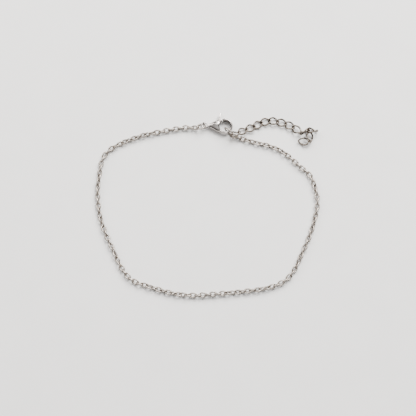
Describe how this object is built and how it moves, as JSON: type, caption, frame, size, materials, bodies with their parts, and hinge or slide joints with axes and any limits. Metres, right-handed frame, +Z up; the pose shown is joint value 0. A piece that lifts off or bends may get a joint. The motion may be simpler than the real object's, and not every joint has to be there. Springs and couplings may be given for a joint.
{
  "type": "rolo chain bracelet",
  "caption": "Slim rolo link chain closed in a loop by a lobster clasp, with a looser extender chain hanging from the clasp's jump ring.",
  "frame": {"origin": "on the surface that the bracelet lies on, under the middle of the whole bracelet's box", "axes": "+X to the right along the loop's long side, +Y from the front of the loop to the clasp, +Z up from the surface"},
  "size_m": [0.0666, 0.0566, 0.0037],
  "materials": {
    "chain_steel": "polished wire, lightly dulled",
    "clasp_steel": "polished casting"
  },
  "bodies": {
    "bracelet": {"chain_left": "chain_steel", "chain_right": "chain_steel", "jump_ring_left": "chain_steel", "jump_ring_right": "chain_steel", "extender_link_01": "chain_steel", "extender_link_02": "chain_steel", "extender_link_03": "chain_steel", "extender_link_04": "chain_steel", "extender_link_05": "chain_steel", "extender_link_06": "chain_steel", "extender_link_07": "chain_steel", "extender_link_08": "chain_steel", "extender_link_09": "chain_steel", "extender_link_10": "chain_steel", "extender_link_11": "chain_steel", "extender_link_12": "chain_steel", "extender_link_13": "chain_steel", "clasp_body": "clasp_steel", "clasp_pin": "clasp_steel"},
    "lever": {"clasp_lever": "clasp_steel"}
  },
  "joints": [
    {"name": "lever_hinge", "type": "hinge", "parent": "bracelet", "child": "lever", "pos_m": [0.00282, 0.02513, 0.00101], "axis": [0, 0, -1], "range_deg": [0, 16], "stiffness_Nm_per_rad": 0.005}
  ]
}
